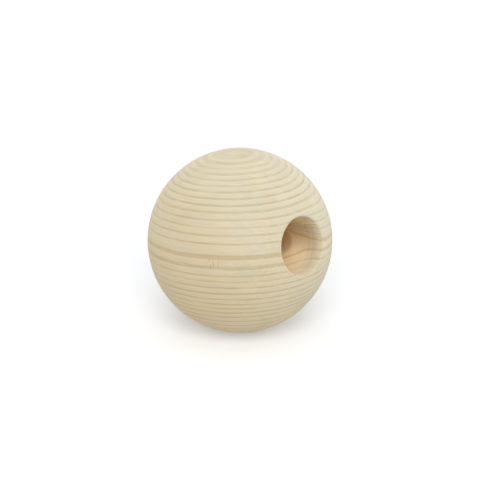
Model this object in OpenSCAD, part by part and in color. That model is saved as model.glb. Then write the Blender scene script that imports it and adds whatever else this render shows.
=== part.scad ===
// Dowel cap: a turned wooden ball with one blind bore that seats on the end of a dowel.
// The bore's axis passes through the centre of the ball. The ball is laid in the pose in
// which it lies on a bench. Millimetres, +Z up, origin at the centre of the ball.

/* [Ball] */
// Diameter of the ball
ball_d = 63.5; // [40:0.5:120]

/* [Bore] */
// Diameter of the bore, for a three-quarter inch dowel
bore_d = 19.05; // [8:0.05:28]
// Depth of the bore, from the plane of its mouth to the flat of its floor
bore_depth = 25.4; // [6:0.1:45]
// Angle by which the bore points above level
bore_rise = 11; // [-30:1:30]

/* [Edges] */
// Radius of the sanded edge round the mouth
mouth_round = 0.8; // [0.2:0.1:2]
// Diameter of the pit that the drill's centre point leaves in the floor
pit_d = 4; // [1:0.5:7]
// Full angle of that centre point
pit_angle = 90; // [60:5:140]

/* [Hidden] */
$fn = 144;
ball_r = ball_d / 2;
bore_r = bore_d / 2;
// Height of the mouth's plane and of the floor above the centre, along the bore
mouth_h = sqrt(pow(ball_r, 2) - pow(bore_r, 2));
floor_h = mouth_h - bore_depth;
pit_r = pit_d / 2;
pit_depth = pit_r / tan(pit_angle / 2);
// Centre of the round that blends the bore's wall into the ball: one radius inside each
round_r = bore_r + mouth_round;
round_h = sqrt(pow(ball_r - mouth_round, 2) - pow(round_r, 2));
// How many times further out than the ball's surface the sanding's cutter reaches
overcut = 1.5;

// Half of the bore's section, on the right of its axis: straight wall, flat floor and the
// pit of the drill's centre point
module bore_section() {
    translate([0, floor_h])
        square([bore_r, ball_r]);
    polygon([[0, floor_h - pit_depth], [pit_r, floor_h], [0, floor_h]]);
}

// What sanding takes off the corner between the bore's wall and the ball
module mouth_section() {
    reach = overcut * ball_r / (ball_r - mouth_round);
    difference() {
        polygon([
            [bore_r, round_h],
            [round_r, round_h],
            [round_r * reach, round_h * reach],
            [bore_r, round_h * reach]
        ]);
        translate([round_r, round_h])
            circle(r = mouth_round);
    }
}

// The turned ball, drilled and sanded; the bore is laid over to open towards +X
module dowel_cap() {
    color("burlywood")
        difference() {
            sphere(r = ball_r);
            rotate([0, bore_rise - 90, 180])
                rotate_extrude() {
                    bore_section();
                    mouth_section();
                }
        }
}

dowel_cap();
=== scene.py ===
import math

import bpy
import numpy as np
from mathutils import Matrix


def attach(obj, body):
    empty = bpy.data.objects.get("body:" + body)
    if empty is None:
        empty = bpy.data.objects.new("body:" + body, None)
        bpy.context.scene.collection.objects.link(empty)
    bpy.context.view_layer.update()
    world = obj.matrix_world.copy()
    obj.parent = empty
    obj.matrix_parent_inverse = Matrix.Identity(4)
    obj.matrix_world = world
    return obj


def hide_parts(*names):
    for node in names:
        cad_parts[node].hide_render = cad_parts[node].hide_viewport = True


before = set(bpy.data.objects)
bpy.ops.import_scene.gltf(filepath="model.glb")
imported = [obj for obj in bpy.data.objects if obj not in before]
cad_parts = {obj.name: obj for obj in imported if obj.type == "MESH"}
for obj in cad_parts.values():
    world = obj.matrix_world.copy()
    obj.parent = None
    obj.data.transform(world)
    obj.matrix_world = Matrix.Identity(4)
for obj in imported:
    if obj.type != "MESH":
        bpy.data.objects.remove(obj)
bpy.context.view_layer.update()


# ---- The turned ball --------------------------------------------------------------
# The whole part is one piece of pine: a ball turned between centres, drilled from one
# side for a dowel, and sanded all over, which also takes the corner off the mouth.
# Lengths are in millimetres until the mesh is made.

BALL_R = 31.75
BORE_R = 9.525
BORE_DEPTH = 25.4
BORE_RISE = math.radians(11.0)
MOUTH_ROUND = 0.8
PIT_R = 2.0
PIT_DEPTH = 2.0
SHARP_CORNER = math.radians(30.0)

# how finely each stretch of the section is divided, and the turn about the axis
BALL_POINTS = 190
MOUTH_POINTS = 10
WALL_STEPS = 24
FLOOR_STEPS = 14
PIT_STEPS = 6
AROUND = 360

bore_axis = np.array([math.cos(BORE_RISE), 0.0, math.sin(BORE_RISE)])


def turned_section():
    """The section as (distance from the axis, height along it), from the ball's far pole
    to the bottom of the drill's pit: a great circle, the sanded round that is tangent to
    ball and bore, then the wall, the floor and the cone of the pit."""
    mouth_h = math.sqrt(BALL_R ** 2 - BORE_R ** 2)
    floor_h = mouth_h - BORE_DEPTH
    round_r = BORE_R + MOUTH_ROUND
    round_h = math.sqrt((BALL_R - MOUTH_ROUND) ** 2 - round_r ** 2)
    touch = math.atan2(round_r, round_h)
    polar = np.linspace(math.pi, touch, BALL_POINTS)
    ball = np.stack([BALL_R * np.sin(polar), BALL_R * np.cos(polar)], 1)
    turn = np.linspace(touch, -math.pi / 2, MOUTH_POINTS)[1:]
    mouth = np.stack([round_r + MOUTH_ROUND * np.sin(turn),
                      round_h + MOUTH_ROUND * np.cos(turn)], 1)
    wall = np.linspace((BORE_R, round_h), (BORE_R, floor_h), WALL_STEPS + 1)[1:]
    flat = np.linspace((BORE_R, floor_h), (PIT_R, floor_h), FLOOR_STEPS + 1)[1:]
    pit = np.linspace((PIT_R, floor_h), (0.0, floor_h - PIT_DEPTH), PIT_STEPS + 1)[1:]
    return np.concatenate([ball, mouth, wall, flat, pit])


def revolved(section, axis, around):
    """Vertices and faces of a section turned about an axis through the origin: point
    (r, h) goes to h * axis + r * (cos a * side + sin a * across) for each angle a. The
    section's two ends lie on the axis, and each is one vertex in a fan."""
    side = np.cross([0.0, 1.0, 0.0], axis)
    across = np.cross(axis, side)
    angle = np.linspace(0.0, 2 * math.pi, around, endpoint=False)
    spoke = np.cos(angle)[:, None] * side + np.sin(angle)[:, None] * across
    inner = section[1:-1]
    rings = inner[:, 1, None, None] * axis + inner[:, 0, None, None] * spoke[None]
    first = section[0, 1] * axis[None]
    last = section[-1, 1] * axis[None]
    verts = np.concatenate([first, rings.reshape(-1, 3), last])
    a = np.arange(around)
    b = (a + 1) % around
    low = 1 + around * np.arange(len(inner) - 1)[:, None]
    quads = np.stack([low + a, low + b, low + around + b, low + around + a], -1).reshape(-1, 4)
    top = 1 + around * (len(inner) - 1)
    first_fan = np.stack([np.zeros(around, int), 1 + b, 1 + a], -1)
    last_fan = np.stack([top + a, top + b, np.full(around, len(verts) - 1)], -1)
    return verts, quads.tolist() + first_fan.tolist() + last_fan.tolist()


def mesh_piece(name, verts, faces, corner=None):
    """An object at the origin from vertices in metres, smooth but for edges sharper than
    corner."""
    mesh = bpy.data.meshes.new(name)
    mesh.from_pydata(verts.tolist(), [], faces)
    mesh.shade_smooth()
    if corner:
        mesh.set_sharp_from_angle(angle=corner)
    mesh.validate()
    piece = bpy.data.objects.new(name, mesh)
    bpy.context.scene.collection.objects.link(piece)
    return piece


ball_verts, ball_faces = revolved(turned_section(), bore_axis, AROUND)
ball = mesh_piece("turned_ball", ball_verts / 1000, ball_faces, SHARP_CORNER)
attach(ball, "root")
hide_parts("dowel_cap")


def linear(hex_colour):
    """An sRGB hex colour as the linear RGBA that a shader takes."""
    c = np.array([int(hex_colour[i:i + 2], 16) for i in (1, 3, 5)]) / 255
    c = np.where(c <= 0.04045, c / 12.92, ((c + 0.055) / 1.055) ** 2.4)
    return (*c.tolist(), 1.0)


def add(t, kind, inputs=None, **settings):
    """Add a node of a kind to node tree t. Settings are its own properties; inputs maps
    each socket to a value, a socket, or a node whose first output in use it takes. A Mix
    node's sockets are 0 for the share, 2 and 3 for numbers, and 6 and 7 for colours."""
    made = t.nodes.new("ShaderNode" + kind)
    for name, value in settings.items():
        setattr(made, name, value)
    for socket, value in (inputs or {}).items():
        if isinstance(value, bpy.types.Node):
            value = next(output for output in value.outputs if output.enabled)
        if isinstance(value, bpy.types.NodeSocket):
            t.links.new(value, made.inputs[socket])
        else:
            made.inputs[socket].default_value = value
    return made


def shape_curve(made, xs, ys, x_top, y_top):
    """Make a Float Curve pass through points in straight runs, with x from 0 to x_top
    and y from 0 to y_top both brought to 0 to 1."""
    curve = made.mapping.curves[0]
    while len(curve.points) > 2:
        curve.points.remove(curve.points[1])
    spots = [(x / x_top, y / y_top) for x, y in zip(xs, ys)]
    curve.points[0].location = spots[0]
    curve.points[1].location = spots[-1]
    for spot in spots[1:-1]:
        curve.points.new(*spot)
    for point in curve.points:
        point.handle_type = "VECTOR"
    made.mapping.update()


# The wood is pine, sanded and left bare. Its fibres lie nearly level and its rings nearly
# flat, because the blank came from the outer part of a log whose heart was well above.
# Each year is pale springwood that darkens downwards into a thin line of summerwood, and
# ends there at once. To the eye: soft warm lines on cream, with no shine.

FIBRE = np.array([0.905, 0.422, 0.055])
RINGS_UP = np.array([-0.031, -0.062, 0.998])
SMOOTH = {"interpolation_type": "SMOOTHSTEP"}
# noise keeps mostly between these two
NOISE = {"From Min": 0.3, "From Max": 0.7}


def grain_turn():
    """The turn that lays x along the fibre, y across it and z straight up through the
    rings: the fibre is first made square to the rings' normal."""
    fibre = FIBRE - RINGS_UP * (FIBRE @ RINGS_UP) / (RINGS_UP @ RINGS_UP)
    rows = [v / np.linalg.norm(v) for v in (fibre, np.cross(RINGS_UP, fibre), RINGS_UP)]
    return Matrix([list(v) for v in rows]).to_euler("XYZ")


def patches(t, grain, size, detail=1.0):
    """Noise whose patches have a real size in millimetres: along the fibre, across it,
    and up through the rings."""
    drawn_out = add(t, "VectorMath", {0: grain, 1: [1 / s for s in size]}, operation="MULTIPLY")
    return add(t, "TexNoise", {"Vector": drawn_out, "Scale": 1.0, "Detail": detail})


# The rings lie round the log's heart. Inside the ball they part round a small knot, by a
# share of the radius for each height, and they dip a little beside the bore's mouth. They
# also waver, slowly and a little quickly, drawn out along the fibre.

HEART_ABOVE = 235.0
PARTING = ((-12.0, 0.33), (-2.6, 0.33), (3.6, 0.0), (5.0, 0.0), (6.35, 0.25), (7.6, 0.35), (12.0, 0.35))
PARTING_SPAN = 12.0
DIP_AT = (25.0, 21.0, 10.0)
DIP_R = 18.0
DIP = 2.4
SLOW_WAVER = (40.0, 14.0, 14.0)
SLOW_SWAY = 0.5
QUICK_WAVER = (9.0, 3.0, 3.0)
QUICK_SWAY = 0.16


def ring_level(t, place, grain, from_centre):
    """The height at which a point's ring would pass straight above the ball's centre: the
    heart's height less the distance from the heart, moved by what bends the rings."""
    axes = add(t, "SeparateXYZ", {0: grain})
    up = add(t, "Math", {0: HEART_ABOVE, 1: axes.outputs["Z"]}, operation="SUBTRACT")
    up2 = add(t, "Math", {0: up, 1: up}, operation="MULTIPLY")
    out2 = add(t, "Math", {0: axes.outputs["Y"], 1: axes.outputs["Y"], 2: up2}, operation="MULTIPLY_ADD")
    from_heart = add(t, "Math", {0: out2}, operation="SQRT")
    level = add(t, "Math", {0: HEART_ABOVE, 1: from_heart}, operation="SUBTRACT")

    # the parting grows from nothing at the ball's surface towards its centre
    share = add(t, "Math", {0: from_centre, 1: BALL_R}, operation="DIVIDE")
    share2 = add(t, "Math", {0: share, 1: share}, operation="MULTIPLY")
    inside = add(t, "Math", {0: 1.0, 1: share2}, operation="SUBTRACT", use_clamp=True)
    inside2 = add(t, "Math", {0: inside, 1: inside}, operation="MULTIPLY")
    at_height = add(t, "MapRange", {"Value": level, "From Min": -PARTING_SPAN, "From Max": PARTING_SPAN})
    parting = add(t, "FloatCurve", {"Value": at_height})
    shape_curve(parting, [h + PARTING_SPAN for h, rise in PARTING], [rise for h, rise in PARTING],
                2 * PARTING_SPAN, 1)
    rise = add(t, "Math", {0: parting, 1: inside2}, operation="MULTIPLY")
    level = add(t, "Math", {0: rise, 1: BALL_R, 2: level}, operation="MULTIPLY_ADD")

    from_dip = add(t, "VectorMath", {0: place, 1: DIP_AT}, operation="DISTANCE")
    dip = add(t, "MapRange", {"Value": from_dip, "From Min": 0.0, "From Max": DIP_R,
                              "To Min": DIP, "To Max": 0.0}, **SMOOTH)
    level = add(t, "Math", {0: level, 1: dip}, operation="ADD")

    for size, sway in ((SLOW_WAVER, SLOW_SWAY), (QUICK_WAVER, QUICK_SWAY)):
        waver = add(t, "Math", {0: patches(t, grain, size), 1: 0.5}, operation="SUBTRACT")
        level = add(t, "Math", {0: waver, 1: sway, 2: level}, operation="MULTIPLY_ADD")
    return level


# The years' widths, from the top of the ball down: first years that widen evenly, then
# the wide ones, then years that swing slowly about one width.

FIRST_YEAR_H = 29.95
YEARS_ABOVE = 12
NARROWEST = 1.08
WIDENING = 0.133
WIDE_YEARS = (4.68, 3.32, 2.55)
YEARS_BELOW = 14
LATE_YEAR = 1.97
LATE_SWING = 0.3
LATE_PERIOD = 7.0
WIDEST_LATE = 2.0
YEARS = YEARS_ABOVE + len(WIDE_YEARS) + YEARS_BELOW
WIDEST = 5.0


def year_ends():
    """Heights at which the years end, from the top down, and each year's width."""
    above = NARROWEST + WIDENING * np.arange(YEARS_ABOVE)
    swing = np.cos(2 * math.pi * (np.arange(YEARS_BELOW) - WIDEST_LATE) / LATE_PERIOD)
    widths = np.concatenate([above, WIDE_YEARS, LATE_YEAR + LATE_SWING * swing])
    return FIRST_YEAR_H - np.concatenate([[0.0], np.cumsum(widths)]), widths


def years_at(t, level):
    """What the level's year is, as a share of all the years, how much of that year lies
    above it, and how wide the year is."""
    ends, widths = year_ends()
    span = ends[0] - ends[-1]
    depth = add(t, "Math", {0: ends[0], 1: level}, operation="SUBTRACT")
    depth = add(t, "Math", {0: depth, 1: span}, operation="DIVIDE")
    year = add(t, "FloatCurve", {"Value": depth})
    shape_curve(year, ends[0] - ends, np.arange(YEARS + 1), span, YEARS)
    years = add(t, "Math", {0: year, 1: float(YEARS)}, operation="MULTIPLY")
    part = add(t, "Math", {0: years}, operation="FRACT")
    width = add(t, "FloatCurve", {"Value": year})
    shape_curve(width, np.arange(YEARS) + 0.5, widths, YEARS, WIDEST)
    width = add(t, "Math", {0: width, 1: WIDEST}, operation="MULTIPLY")
    return year, part, width


# The summerwood, counted in years from the top: how many times as thick as usual, and how
# dark. Each line comes up over one length, falls off past the year's end over a shorter
# one, and has a faint haze above it. The thickest line is also the most orange. On the
# bore's wall none is thicker than usual.

SUMMER_T = 0.65
THICK_YEARS = {8: 1.5, 13: 2.8, 14: 1.6}
THICKEST = 4.0
DARK_YEARS = {0: 0.55, 1: 0.5, 2: 0.55, 3: 0.65, 4: 0.7, 6: 0.8, 7: 0.9, 8: 0.65, 10: 0.65,
              12: 0.95, 13: 1.15, 14: 0.95, 15: 0.6, 16: 0.5, 17: 0.9, 18: 1.1, 19: 0.85,
              20: 1.0, 21: 0.8, 22: 1.0, 23: 1.0, 24: 1.0, 25: 0.9}
USUAL_DARK = 0.75
DARKEST = 1.5
LINE_RISE = 0.26
LINE_FALL = 0.16
PAST_END = 0.7
HAZE = 0.2
HAZE_NEAR = 0.6
HAZE_FAR = 2.4
ORANGE_FROM = 1.6
ORANGE_FULL = 3.6

# a false ring: a faint line near the middle of a year, plain only high on the bore's wall
FALSE_AT = 0.45
FALSE_CORE = 0.12
FALSE_EDGE = 0.34
FALSE_FAINT = 0.14
FALSE_PLAIN = 0.75
FALSE_PLAIN_H = (4.5, 6.5)

# the lines are stronger and weaker in patches
UNEVEN = (9.0, 3.0, 1.2)
UNEVEN_FROM = 0.65
UNEVEN_TO = 1.35


def summerwood(t, grain, level, walled):
    """How dark the lines are at a level, from 0 to 1, and how orange. Walled is 1 on the
    bore's wall and 0 on the ball."""
    year, part, width = years_at(t, level)
    left = add(t, "Math", {0: 1.0, 1: part}, operation="SUBTRACT")
    before = add(t, "Math", {0: left, 1: width}, operation="MULTIPLY")
    after = add(t, "Math", {0: part, 1: width}, operation="MULTIPLY")

    marks = range(YEARS + 1)
    thick = add(t, "FloatCurve", {"Value": year})
    shape_curve(thick, marks, [THICK_YEARS.get(k, 1.0) for k in marks], YEARS, THICKEST)
    orange = add(t, "MapRange", {"Value": thick, "From Min": ORANGE_FROM / THICKEST,
                                 "From Max": ORANGE_FULL / THICKEST})
    thick = add(t, "Math", {0: thick, 1: THICKEST * SUMMER_T}, operation="MULTIPLY")
    thinner = add(t, "Math", {0: thick, 1: SUMMER_T}, operation="MINIMUM")
    thick = add(t, "Mix", {0: walled, 2: thick, 3: thinner}, data_type="FLOAT")
    dark = add(t, "FloatCurve", {"Value": year})
    shape_curve(dark, marks, [DARK_YEARS.get(k, USUAL_DARK) for k in marks], YEARS, DARKEST)
    dark = add(t, "Math", {0: dark, 1: DARKEST}, operation="MULTIPLY")

    rising = add(t, "Math", {0: before, 1: thick}, operation="SUBTRACT")
    rising = add(t, "MapRange", {"Value": rising, "From Min": -LINE_RISE, "From Max": 0.0,
                                 "To Min": 1.0, "To Max": 0.0}, **SMOOTH)
    falling = add(t, "MapRange", {"Value": after, "From Min": 0.0, "From Max": LINE_FALL,
                                  "To Min": PAST_END, "To Max": 0.0}, **SMOOTH)
    haze = add(t, "Math", {0: before, 1: thick}, operation="DIVIDE")
    haze = add(t, "MapRange", {"Value": haze, "From Min": HAZE_NEAR, "From Max": HAZE_FAR,
                               "To Min": HAZE, "To Max": 0.0}, **SMOOTH)
    line = add(t, "Math", {0: rising, 1: falling}, operation="MAXIMUM")
    line = add(t, "Math", {0: line, 1: haze}, operation="MAXIMUM")
    line = add(t, "Math", {0: line, 1: dark}, operation="MULTIPLY")

    halfway = add(t, "Math", {0: part, 1: FALSE_AT}, operation="SUBTRACT")
    halfway = add(t, "Math", {0: halfway, 1: width}, operation="MULTIPLY")
    halfway = add(t, "Math", {0: halfway}, operation="ABSOLUTE")
    false_ring = add(t, "MapRange", {"Value": halfway, "From Min": FALSE_CORE, "From Max": FALSE_EDGE,
                                     "To Min": 1.0, "To Max": 0.0}, **SMOOTH)
    plain = add(t, "MapRange", {"Value": level, "From Min": FALSE_PLAIN_H[0], "From Max": FALSE_PLAIN_H[1]})
    plain = add(t, "Math", {0: plain, 1: walled}, operation="MULTIPLY")
    plain = add(t, "Mix", {0: plain, 2: FALSE_FAINT, 3: FALSE_PLAIN}, data_type="FLOAT")
    false_ring = add(t, "Math", {0: false_ring, 1: plain}, operation="MULTIPLY")
    line = add(t, "Math", {0: line, 1: false_ring}, operation="MAXIMUM")

    uneven = add(t, "MapRange", {"Value": patches(t, grain, UNEVEN), **NOISE,
                                 "To Min": UNEVEN_FROM, "To Max": UNEVEN_TO})
    line = add(t, "Math", {0: line, 1: uneven}, operation="MULTIPLY", use_clamp=True)
    return line, orange


# Springwood is cream, with painted light and shade on it: paler towards the top of the ball
# and darker and warmer towards the floor. It has broad cloudy patches and streaks a little
# warmer and cooler. The fibres are about 0.03 mm across, too fine to show, so they are drawn
# 0.8 mm across. A line's colour is the springwood's times a ratio.

# the springwood's colour where painted light makes it palest and where painted shade makes it darkest, and
# the side, mostly upwards, towards which it pales
SPRINGWOOD_PAINTED_LIT = "#E7DFC7"
SPRINGWOOD_PAINTED_SHADE = "#CFBD96"
PAINTED_LIT_SIDE = np.array([0.45, 0.46, 0.9])
LINE_RATIO = (0.83, 0.785, 0.675, 1.0)
ORANGE_RATIO = (0.90, 0.805, 0.67, 1.0)
UNCHANGED = (1.0, 1.0, 1.0, 1.0)
FIBRES = (25.0, 0.8, 0.8)
FIBRE_TONE = 0.03
CLOUDS = (22.0, 9.0, 6.0)
CLOUD_TONE = 0.02
HUES = (30.0, 2.2, 1.6)
WARMER = (1.015, 0.995, 0.96, 1.0)
COOLER = (0.985, 1.005, 1.04, 1.0)


def sanded_colour(t, place, grain, line, orange):
    """The sanded wood's colour with painted light and shade on it, and its fibres as a factor about 1."""
    # painted light and shade: the springwood goes from its dark colour on the floor side to its pale colour
    # at the top
    side = PAINTED_LIT_SIDE / (PAINTED_LIT_SIDE @ PAINTED_LIT_SIDE) ** 0.5
    toward = add(t, "VectorMath", {0: place, 1: side.tolist()}, operation="DOT_PRODUCT")
    painted_lit = add(t, "MapRange", {"Value": toward, "From Min": -BALL_R, "From Max": BALL_R})
    ground = add(t, "Mix", {0: painted_lit, 6: linear(SPRINGWOOD_PAINTED_SHADE), 7: linear(SPRINGWOOD_PAINTED_LIT)},
                 data_type="RGBA")
    stain = add(t, "Mix", {0: orange, 6: LINE_RATIO, 7: ORANGE_RATIO}, data_type="RGBA")
    stain = add(t, "Mix", {0: line, 6: UNCHANGED, 7: stain}, data_type="RGBA")
    wood = add(t, "Mix", {0: 1.0, 6: ground, 7: stain}, data_type="RGBA", blend_type="MULTIPLY")

    fibres = add(t, "MapRange", {"Value": patches(t, grain, FIBRES, 2.0), **NOISE,
                                 "To Min": 1 - FIBRE_TONE, "To Max": 1 + FIBRE_TONE})
    cloud = add(t, "MapRange", {"Value": patches(t, grain, CLOUDS), **NOISE,
                                "To Min": 1 - CLOUD_TONE, "To Max": 1 + CLOUD_TONE})
    tone = add(t, "Math", {0: fibres, 1: cloud}, operation="MULTIPLY")
    wood = add(t, "VectorMath", {0: wood, "Scale": tone}, operation="SCALE")
    hue = add(t, "MapRange", {"Value": patches(t, grain, HUES), **NOISE})
    hue = add(t, "Mix", {0: hue, 6: WARMER, 7: COOLER}, data_type="RGBA")
    return add(t, "VectorMath", {0: wood, 1: hue}, operation="MULTIPLY"), fibres


# Below the widest line the turning tool plucked the grain: short dark marks across the
# fibre in one small spot.

TORN_AT = (15.9, -27.1, 3.0)
TORN_R = 3.2
TORN_MARKS = (0.5, 4.0, 1.8)
TORN_FROM = 0.58
TORN_FULL = 0.68
TORN_SHADE = 0.55
TORN_COLOUR = "#BFA67C"


def torn_grain(t, place, grain):
    """Where the grain is plucked, from 0 to 1: noise above a threshold, near one point."""
    marks = add(t, "MapRange", {"Value": patches(t, grain, TORN_MARKS, 0.0), "From Min": TORN_FROM,
                                "From Max": TORN_FULL}, **SMOOTH)
    away = add(t, "VectorMath", {0: place, 1: TORN_AT}, operation="DISTANCE")
    here = add(t, "MapRange", {"Value": away, "From Min": TORN_R, "From Max": 0.5 * TORN_R}, **SMOOTH)
    return add(t, "Math", {0: marks, 1: here}, operation="MULTIPLY")


# In the bore the wood carries painted light and shade: browner at mid height as painted
# shade, paler above and below and paler the deeper it lies as painted light, and darker just
# inside the mouth as painted shade. The drill marked it round and round near the mouth. A
# brown patch of painted shade lies on the deep wall.

# where the bore's look starts, and where it is full, in distance from the ball's centre
WALL_R = (31.2, 30.4)
DRILLED_R = (31.0, 25.0)
PAST_MOUTH_R = (30.5, 27.5)

# the wall's painted light and shade as ratios to the sanded wood's colour, and the heights
# over which each one takes the place of the one below
BORE_LOW_PAINTED_LIGHT = (1.16, 1.1, 1.02, 1.0)
BORE_MIDDLE_PAINTED_SHADE = (0.87, 0.75, 0.61, 1.0)
MIDDLE_H = (-2.0, 4.5)
BORE_HIGH_PAINTED_LIGHT = (1.5, 1.28, 0.88, 1.0)
HIGH_H = (7.5, 12.5)
# painted light and shade by depth: darker just inside the mouth and paler deeper down, between these
# distances from the ball's centre
PAINTED_DEPTH_R = (28.0, 16.0)
PAINTED_SHADE_NEAR = 0.86
PAINTED_LIGHT_DEEP = 1.3

# the drill's real marks are about 0.2 mm apart, too fine to show, so they are drawn 0.9 mm
# apart; they start at the first place along the bore's axis and are full at the second
DRILL_MARKS = 0.9
MARK_DARK = 0.92
MARK_PALE = 1.02
MARKED_ALONG = (19.0, 22.0)

# a brown patch of painted shade on the deep wall, where little light reaches: its centre, the distances
# over which it fades in, its strength and its colour
DEEP_SHADE_AT = (11.6, 9.6, 0.2)
DEEP_SHADE_R = (5.4, 3.0)
DEEP_SHADE_SHARE = 0.6
DEEP_SHADE_COLOUR = "#C4925A"


def bore_marks_and_painted_light(t, place, from_centre, wood):
    """The wood's colour with painted light and shade on the bore's wall, and the drill's marks
    as a factor about 1."""
    drilled = add(t, "MapRange", {"Value": from_centre, "From Min": DRILLED_R[0],
                                  "From Max": DRILLED_R[1]}, **SMOOTH)
    height = add(t, "SeparateXYZ", {0: place}).outputs["Z"]
    middle = add(t, "MapRange", {"Value": height, "From Min": MIDDLE_H[0],
                                 "From Max": MIDDLE_H[1]}, **SMOOTH)
    high = add(t, "MapRange", {"Value": height, "From Min": HIGH_H[0], "From Max": HIGH_H[1]}, **SMOOTH)
    # painted light and shade on the wall, by height
    ratio = add(t, "Mix", {0: middle, 6: BORE_LOW_PAINTED_LIGHT, 7: BORE_MIDDLE_PAINTED_SHADE}, data_type="RGBA")
    ratio = add(t, "Mix", {0: high, 6: ratio, 7: BORE_HIGH_PAINTED_LIGHT}, data_type="RGBA")
    ratio = add(t, "Mix", {0: drilled, 6: UNCHANGED, 7: ratio}, data_type="RGBA")
    wood = add(t, "Mix", {0: 1.0, 6: wood, 7: ratio}, data_type="RGBA", blend_type="MULTIPLY")

    along = add(t, "VectorMath", {0: place, 1: bore_axis.tolist()}, operation="DOT_PRODUCT")
    marks = add(t, "TexNoise", {"W": along, "Scale": 1 / DRILL_MARKS, "Detail": 1.0}, noise_dimensions="1D")
    marks = add(t, "MapRange", {"Value": marks, **NOISE, "To Min": MARK_DARK, "To Max": MARK_PALE})
    marked = add(t, "MapRange", {"Value": along, "From Min": MARKED_ALONG[0],
                                 "From Max": MARKED_ALONG[1]}, **SMOOTH)
    marked = add(t, "Math", {0: marked, 1: drilled}, operation="MULTIPLY")
    marks = add(t, "Mix", {0: marked, 2: 1.0, 3: marks}, data_type="FLOAT")

    # painted shade just inside the mouth and painted light deeper down
    painted_depth_tone = add(t, "MapRange", {"Value": from_centre, "From Min": PAINTED_DEPTH_R[0], "From Max": PAINTED_DEPTH_R[1],
                                "To Min": PAINTED_SHADE_NEAR, "To Max": PAINTED_LIGHT_DEEP})
    past_mouth = add(t, "MapRange", {"Value": from_centre, "From Min": PAST_MOUTH_R[0],
                                     "From Max": PAST_MOUTH_R[1]}, **SMOOTH)
    painted_depth_tone = add(t, "Mix", {0: past_mouth, 2: 1.0, 3: painted_depth_tone}, data_type="FLOAT")
    tone = add(t, "Math", {0: painted_depth_tone, 1: marks}, operation="MULTIPLY")
    wood = add(t, "VectorMath", {0: wood, "Scale": tone}, operation="SCALE")

    # painted shade: a brown patch on the deep wall
    from_deep_shade = add(t, "VectorMath", {0: place, 1: DEEP_SHADE_AT}, operation="DISTANCE")
    deep_shade = add(t, "MapRange", {"Value": from_deep_shade, "From Min": DEEP_SHADE_R[0], "From Max": DEEP_SHADE_R[1]}, **SMOOTH)
    deep_shade = add(t, "Math", {0: deep_shade, 1: DEEP_SHADE_SHARE}, operation="MULTIPLY")
    return add(t, "Mix", {0: deep_shade, 6: wood, 7: linear(DEEP_SHADE_COLOUR)}, data_type="RGBA"), marks


# How the surface feels. Hard summerwood stands a little proud after sanding, and fibres,
# plucked grain and the drill's marks are felt as well as seen: millimetres of height for
# each 1 of the pattern, which the bump's Distance turns to metres. Summerwood is the
# smoothest part, and plucked grain the roughest.

LINE_PROUD = 0.02
FIBRE_PROUD = 0.35
TORN_PROUD = -0.05
MARK_PROUD = 0.4
ROUGH_SPRINGWOOD = 0.6
ROUGH_SUMMERWOOD = 0.48
ROUGHER_TORN = 0.15
DIFFUSE_ROUGH = 0.75


def sanded_pine():
    """The wood's material, worked out in the ball's own space, in millimetres."""
    made = bpy.data.materials.new("sanded_pine")
    made.use_nodes = True
    t = made.node_tree
    t.nodes.clear()
    metres = add(t, "TexCoord").outputs["Object"]
    place = add(t, "VectorMath", {0: metres, "Scale": 1000.0}, operation="SCALE")
    grain = add(t, "Mapping", {"Vector": place, "Rotation": grain_turn()})
    from_centre = add(t, "VectorMath", {0: place}, operation="LENGTH")
    walled = add(t, "MapRange", {"Value": from_centre, "From Min": WALL_R[0],
                                 "From Max": WALL_R[1]}, **SMOOTH)

    level = ring_level(t, place, grain, from_centre)
    line, orange = summerwood(t, grain, level, walled)
    wood, fibres = sanded_colour(t, place, grain, line, orange)
    torn = torn_grain(t, place, grain)
    plucked = add(t, "Math", {0: torn, 1: TORN_SHADE}, operation="MULTIPLY")
    wood = add(t, "Mix", {0: plucked, 6: wood, 7: linear(TORN_COLOUR)}, data_type="RGBA")
    wood, marks = bore_marks_and_painted_light(t, place, from_centre, wood)

    relief = add(t, "Math", {0: line, 1: LINE_PROUD}, operation="MULTIPLY")
    for pattern, proud in ((fibres, FIBRE_PROUD), (torn, TORN_PROUD), (marks, MARK_PROUD)):
        relief = add(t, "Math", {0: pattern, 1: proud, 2: relief}, operation="MULTIPLY_ADD")
    bump = add(t, "Bump", {"Height": relief, "Strength": 1.0, "Distance": 0.001})
    satin = add(t, "MapRange", {"Value": line, "To Min": ROUGH_SPRINGWOOD, "To Max": ROUGH_SUMMERWOOD})
    satin = add(t, "Math", {0: torn, 1: ROUGHER_TORN, 2: satin}, operation="MULTIPLY_ADD")
    shader = add(t, "BsdfPrincipled", {"Base Color": wood, "Roughness": satin, "Normal": bump,
                                       "Diffuse Roughness": DIFFUSE_ROUGH})
    add(t, "OutputMaterial", {"Surface": shader})
    return made


ball.data.materials.append(sanded_pine())


# ---- The paper sweep --------------------------------------------------------------
# A wide level sheet of white backdrop paper under the ball, which reaches past everything
# the camera sees. It is matt, so it takes the soft shadow and mirrors nothing. Seen
# straight, it is lifted to white by a faint glow that lights nothing else.

FLOOR_H = -BALL_R
PAPER_R = 3000.0
RIM_POINTS = 96
PAPER_WHITE = "#F5F7F9"
PAPER_LIFT = 0.32

ring = np.linspace(0.0, 2 * math.pi, RIM_POINTS, endpoint=False)
rim = np.stack([PAPER_R * np.cos(ring), PAPER_R * np.sin(ring), np.full(RIM_POINTS, FLOOR_H)], 1)
paper = mesh_piece("paper_sweep", rim / 1000, [list(range(RIM_POINTS))])


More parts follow.
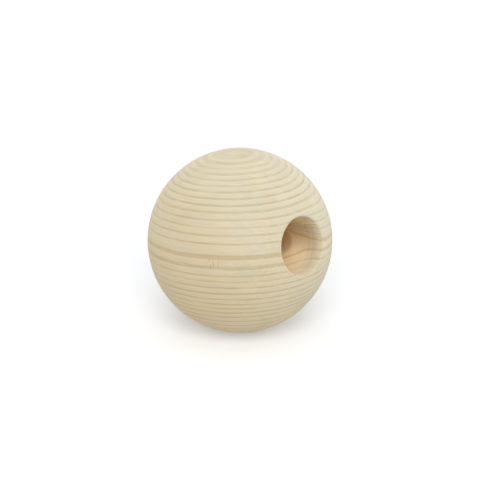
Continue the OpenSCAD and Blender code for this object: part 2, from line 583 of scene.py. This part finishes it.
def seen_straight(t):
    """1 for what the camera sees itself, in a reflection or through glass, and 0 for
    light on its way to other surfaces."""
    path = add(t, "LightPath")
    seen = add(t, "Math", {0: path.outputs["Is Camera Ray"], 1: path.outputs["Is Glossy Ray"]},
               operation="ADD", use_clamp=True)
    return add(t, "Math", {0: seen, 1: path.outputs["Is Transmission Ray"]}, operation="ADD",
               use_clamp=True)


matt_paper = bpy.data.materials.new("matt_paper")
matt_paper.use_nodes = True
t = matt_paper.node_tree
t.nodes.clear()
lift = add(t, "Math", {0: seen_straight(t), 1: PAPER_LIFT}, operation="MULTIPLY")
glow = add(t, "Emission", {"Color": (1.0, 1.0, 1.0, 1.0), "Strength": lift})
sheet = add(t, "BsdfDiffuse", {"Color": linear(PAPER_WHITE)})
add(t, "OutputMaterial", {"Surface": add(t, "AddShader", {0: sheet, 1: glow})})
paper.data.materials.append(matt_paper)


# ---- The light --------------------------------------------------------------------
# A white studio: a little even light from all round, a broad soft lamp in front, up and
# somewhat to the right, and a weaker one overhead. The studio itself is seen as white.

ROOM = 0.21
FRONT_LAMP = 1.92
FRONT_AZIMUTH = math.radians(47.0)
FRONT_RISE = math.radians(36.5)
FRONT_SPREAD = math.radians(42.0)
TOP_LAMP = 0.64
TOP_SPREAD = math.radians(60.0)

world = bpy.data.worlds.new("white_studio")
bpy.context.scene.world = world
world.use_nodes = True
t = world.node_tree
t.nodes.clear()
strength = add(t, "MapRange", {"Value": seen_straight(t), "To Min": ROOM, "To Max": 1.0})
back = add(t, "Background", {"Color": (1.0, 1.0, 1.0, 1.0), "Strength": strength})
add(t, "OutputWorld", {"Surface": back})


def towards(azimuth, rise):
    """The unit direction that lies azimuth round from -y, towards +x, and rise above
    level."""
    level = np.array([math.sin(azimuth), -math.cos(azimuth), 0.0])
    return level * math.cos(rise) + np.array([0.0, 0.0, math.sin(rise)])


def facing(direction):
    """A turn whose own z points along direction and whose own x is level, or along x when
    direction is straight up."""
    z = direction / np.linalg.norm(direction)
    x = np.array([-z[1], z[0], 0.0]) if abs(z[2]) < 0.999 else np.array([1.0, 0.0, 0.0])
    x = x / np.linalg.norm(x)
    return Matrix([list(v) for v in (x, np.cross(z, x), z)]).transposed().to_4x4()


def soft_lamp(name, strength, spread, direction):
    """A far lamp that shines from a direction, as wide as its spread."""
    light = bpy.data.lights.new(name, "SUN")
    light.energy = strength
    light.angle = spread
    lamp = bpy.data.objects.new(name, light)
    lamp.matrix_world = facing(direction)
    bpy.context.scene.collection.objects.link(lamp)


soft_lamp("front_lamp", FRONT_LAMP, FRONT_SPREAD, towards(FRONT_AZIMUTH, FRONT_RISE))
soft_lamp("top_lamp", TOP_LAMP, TOP_SPREAD, np.array([0.0, 0.0, 1.0]))


# ---- The camera -------------------------------------------------------------------
# It looks down a little at the centre of the ball, from twelve radii away, through a lens
# that lets the ball fill about two fifths of the picture's width.

CAMERA_AWAY = 12 * BALL_R / 1000
CAMERA_AZIMUTH = math.radians(46.0)
CAMERA_RISE = math.radians(20.0)
SENSOR_W = 36.0
LENS = 82.95

to_camera = towards(CAMERA_AZIMUTH, CAMERA_RISE)
camera_data = bpy.data.cameras.new("camera")
camera_data.sensor_width = SENSOR_W
camera_data.lens = LENS
camera = bpy.data.objects.new("camera", camera_data)
camera.matrix_world = Matrix.Translation(list(to_camera * CAMERA_AWAY)) @ facing(to_camera)
bpy.context.scene.collection.objects.link(camera)
bpy.context.scene.camera = camera
bpy.context.scene.view_settings.view_transform = "Standard"
